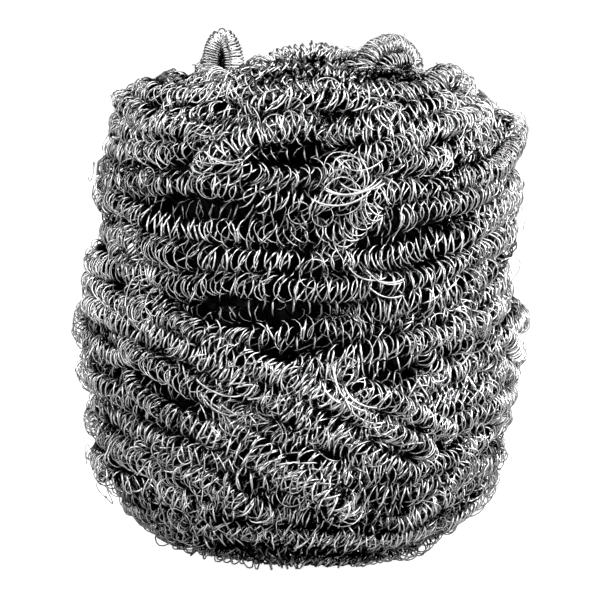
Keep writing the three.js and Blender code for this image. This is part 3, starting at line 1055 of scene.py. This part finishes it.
def pulled_wire(winding, rng, arc):
    """One wire pulled out of its strand into a wide arc over the turns."""
    reach = rng.uniform(*arc["radius"]) * MM
    start, stop = np.radians(np.array(arc["span"]) + rng.uniform(-PULLED_TURN, PULLED_TURN, 2))
    angle = np.linspace(start, stop, PULLED_BITS)
    stretch = rng.uniform(*PULLED_STRETCH)
    along = winding.along_for(*arc["place"]) + rng.uniform(-PULLED_ALONG, PULLED_ALONG) * MM
    around, _ = winding.outline_at(along)
    shift = rng.uniform(-PULLED_AROUND, PULLED_AROUND) * MM
    azimuth = math.radians(arc["place"][0]) + (reach * np.cos(angle) + shift) / around
    at = np.linspace(0, 1, PULLED_BITS)
    ends = smooth_rise(0.0, PULLED_TAPER, at) * smooth_rise(0.0, PULLED_TAPER, 1.0 - at)
    proud = (rng.uniform(*PULLED_PROUD) - PULLED_SINK * (1.0 - ends)) * MM
    line, outward = winding.place(azimuth, along + stretch * reach * np.sin(angle), proud)
    return line, outward, np.zeros(PULLED_BITS)


def wire_end(start, reach):
    """A short end of wire that sticks out of the turns, a little bent."""
    at = np.linspace(0, 1, WIRE_END_BITS)[:, None]
    aside = np.cross(reach, [0.0, 1.0, 0.0])
    line = MM * (np.array(start) + at * np.array(reach) + WIRE_END_BEND * at * (1 - at) * aside)
    return line, np.tile([0.0, -1.0, 0.0], (WIRE_END_BITS, 1)), np.zeros(WIRE_END_BITS)


def stray_loop(winding, wire, rng, kind):
    """One loose loop that lies on the turns or stands out of them."""
    azimuth = rng.uniform(0, TURN)
    along = rng.uniform(*STRAY_ALONG) * winding.length
    radius = rng.uniform(*kind["radius"]) * MM
    proud = rng.uniform(*kind["proud"]) * MM - radius * math.sin(kind["stand"])
    point, outward = winding.place(np.array([azimuth]), np.array([along]), proud)
    outward = outward[0]
    level = unit(np.cross(outward, NEAR_UPRIGHT))
    upright = np.cross(outward, level)
    turn = rng.uniform(0, TURN)
    side = math.cos(turn) * level + math.sin(turn) * upright
    stand = kind["stand"] + rng.uniform(-STRAY_STAND, STRAY_STAND)
    away = np.cross(outward, side)
    rise = math.sin(stand) * outward + math.cos(stand) * away
    psi = np.linspace(-1, 1, 2 + int(kind["turns"] * STRAY_BITS)) * kind["turns"] * math.pi
    psi *= rng.uniform(*STRAY_ROUND)
    spoke = np.cos(psi)[:, None] * rise + np.sin(psi)[:, None] * side
    pitch = rng.uniform(-STRAY_PITCH, STRAY_PITCH) * MM
    line = point + radius * spoke + pitch * psi[:, None] * outward
    line[:, 2] = np.maximum(line[:, 2], wire.floor_clearance)
    return line, spoke, np.zeros(len(line))


class SCOURER_OT_packed_heart(bpy.types.Operator):
    """Shape the tightly packed turns behind the open ones"""

    bl_idname = "scourer.packed_heart"
    bl_label = "Packed Heart"

    def execute(self, context):
        winding = Winding(context.scene.scourer_winding)
        w = winding.w
        azimuth = np.linspace(0, TURN, HEART_COLUMNS, endpoint=False)
        along = np.linspace(*HEART_ALONG, HEART_ROWS) * winding.length
        azimuth, along = (grid.ravel() for grid in np.meshgrid(azimuth, along))
        ridge = 0.5 + 0.5 * np.cos(TURN * (along / w.turn_pitch - azimuth / TURN))
        points, _ = winding.place(azimuth, along, HEART_RIDGE * ridge - HEART_DEPTH * w.strand_diameter)
        vertices, quads, fans = closed_barrel(points, HEART_COLUMNS, HEART_ROWS)
        spots = np.concatenate([np.column_stack([azimuth / TURN, along / winding.length]), HEART_POLES])
        corner_map = spots[np.concatenate([quads.ravel(), fans.ravel()])]
        painted_shade_depths = np.zeros(len(vertices))
        # The packed heart takes the near-black steel all over, as painted shade
        mesh_piece("packed_heart", vertices, quads, fans, corner_map, packed_painted_shade_material(), painted_shade_depths)
        return {"FINISHED"}


def closed_barrel(points, columns, rows):
    """Four-sided faces over a ring grid, with a fan of triangles closing each end."""
    column = np.arange(columns)
    nearby = (column + 1) % columns
    low = np.arange(rows - 1)[:, None] * columns
    high = low + columns
    quads = np.stack([low + column, low + nearby, high + nearby, high + column], axis=-1).reshape(-1, 4)
    base, top = len(points), len(points) + 1
    last = (rows - 1) * columns
    fans = np.concatenate([
        np.stack([np.full(columns, base), nearby, column], axis=1),
        np.stack([np.full(columns, top), last + column, last + nearby], axis=1),
    ])
    ends = [points[:columns].mean(axis=0), points[last:].mean(axis=0)]
    return np.concatenate([points, ends]), quads, fans


class SCOURER_OT_stage(bpy.types.Operator):
    """Set the floor, the soft light and the camera"""

    bl_idname = "scourer.stage"
    bl_label = "Stage"

    def execute(self, context):
        scene, stage = context.scene, context.scene.scourer_stage
        make_floor(scene, stage)
        make_world(scene, stage)
        make_lamps(scene)
        make_camera(scene, stage)
        scene.view_settings.view_transform = "Standard"
        return {"FINISHED"}


def seen_rays(tree):
    """Where a ray shows the stage itself: to the camera, and also in a mirror finish or through glass."""
    rays = add_node(tree, "LightPath")
    mirrored = maths(tree, "MAXIMUM", rays["Is Glossy Ray"], rays["Is Transmission Ray"])
    return rays["Is Camera Ray"], maths(tree, "MAXIMUM", rays["Is Camera Ray"], mirrored)


def make_floor(scene, stage):
    """A wide pale floor that shows white and keeps the shadow."""
    reach = stage.floor_reach
    mesh = bpy.data.meshes.new("floor")
    corners = [(-reach, -reach, 0), (reach, -reach, 0), (reach, reach, 0), (-reach, reach, 0)]
    mesh.from_pydata(corners, [], [(0, 1, 2, 3)])
    floor = bpy.data.objects.new("floor", mesh)
    scene.collection.objects.link(floor)
    material = bpy.data.materials.new("pale_floor")
    material.use_nodes = True
    tree = material.node_tree
    grain = add_node(tree, "TexNoise", {"Scale": FLOOR_GRAIN})["Fac"]
    pale = (*stage.floor_colour, 1.0)
    dim = (*[c * FLOOR_MOTTLE for c in stage.floor_colour], 1.0)
    direct, seen = seen_rays(tree)
    mirrored = maths(tree, "MULTIPLY", seen, stage.mirrored_lift)
    lift = maths(tree, "MULTIPLY_ADD", direct, stage.floor_lift - stage.mirrored_lift, mirrored)
    feed(tree, tree.nodes["Principled BSDF"], {
        "Base Color": mixed(tree, "RGBA", grain, pale, dim), "Roughness": FLOOR_ROUGHNESS,
        "Specular IOR Level": FLOOR_SPECULAR, "Emission Color": WHITE, "Emission Strength": lift,
    })
    mesh.materials.append(material)


def make_world(scene, stage):
    """A white surround with a dark front, plain white behind the object whatever the view."""
    world = bpy.data.worlds.new("soft_surround")
    scene.world = world
    world.use_nodes = True
    tree = world.node_tree
    way = add_node(tree, "TexCoord")["Generated"]
    backdrop = Vector(BACKDROP_WAY).normalized()
    facing = add_node(tree, "VectorMath", {0: way, 1: backdrop}, operation="DOT_PRODUCT")["Value"]
    spread = eased(tree, facing, {**BACKDROP_EDGE, "To Min": stage.front_level, "To Max": 1.0})
    direct, seen = seen_rays(tree)
    shown = maths(tree, "MAXIMUM", direct, spread)
    level = mixed(tree, "FLOAT", seen, stage.fill_level, shown)
    feed(tree, tree.nodes["Background"], {"Color": WHITE, "Strength": level})


def aimed(scene, name, data, place, aim):
    """A lamp or camera at a place, facing a point."""
    obj = bpy.data.objects.new(name, data)
    obj.location = place
    obj.rotation_euler = (aim - place).to_track_quat("-Z", "Y").to_euler()
    scene.collection.objects.link(obj)
    return obj


def make_lamps(scene):
    """The soft boxes."""
    for box in LAMPS:
        lamp = bpy.data.lights.new(box["name"], "AREA")
        lamp.size = box["size"]
        lamp.energy = box["power"]
        aimed(scene, box["name"], lamp, Vector(box["place"]), Vector(LAMP_AIM))


def make_camera(scene, stage):
    """The camera in front, a little above the middle."""
    camera = bpy.data.cameras.new("camera")
    camera.sensor_width = SENSOR_WIDTH
    camera.lens = stage.lens
    camera.clip_start = 10 * MM
    aim = Vector((0.0, 0.0, stage.look_height))
    tilt = stage.camera_elevation
    place = aim + stage.camera_distance * Vector((0.0, -math.cos(tilt), math.sin(tilt)))
    scene.camera = aimed(scene, "camera", camera, place, aim)


class SCOURER_PT_panel(bpy.types.Panel):
    """The scourer's pieces and stage in the sidebar"""

    bl_label = "Scourer"
    bl_idname = "SCOURER_PT_panel"
    bl_space_type = "VIEW_3D"
    bl_region_type = "UI"
    bl_category = "Scourer"

    def draw(self, context):
        for operator in OPERATORS:
            self.layout.operator(operator.bl_idname)


SETTINGS = (
    ("scourer_winding", ScourerWinding),
    ("scourer_wire", ScourerWire),
    ("scourer_steel", ScourerSteel),
    ("scourer_stage", ScourerStage),
)
OPERATORS = (
    SCOURER_OT_packed_heart,
    SCOURER_OT_inner_turns,
    SCOURER_OT_outer_turns,
    SCOURER_OT_crossing_strands,
    SCOURER_OT_tangled_strands,
    SCOURER_OT_stray_loops,
    SCOURER_OT_stage,
)


def register():
    """Make the settings and operators known to Blender."""
    for name, group in SETTINGS:
        bpy.utils.register_class(group)
        setattr(bpy.types.Scene, name, PointerProperty(type=group))
    for kind in (*OPERATORS, SCOURER_PT_panel):
        bpy.utils.register_class(kind)


def unregister():
    """Take them out again, the last first."""
    for kind in reversed((*OPERATORS, SCOURER_PT_panel)):
        bpy.utils.unregister_class(kind)
    for name, group in reversed(SETTINGS):
        delattr(bpy.types.Scene, name)
        bpy.utils.unregister_class(group)


def main():
    """Build the pieces and the stage."""
    register()
    bpy.ops.scourer.packed_heart()
    bpy.ops.scourer.inner_turns()
    bpy.ops.scourer.outer_turns()
    bpy.ops.scourer.crossing_strands()
    bpy.ops.scourer.tangled_strands()
    bpy.ops.scourer.stray_loops()
    bpy.ops.scourer.stage()


if __name__ == "__main__":
    main()
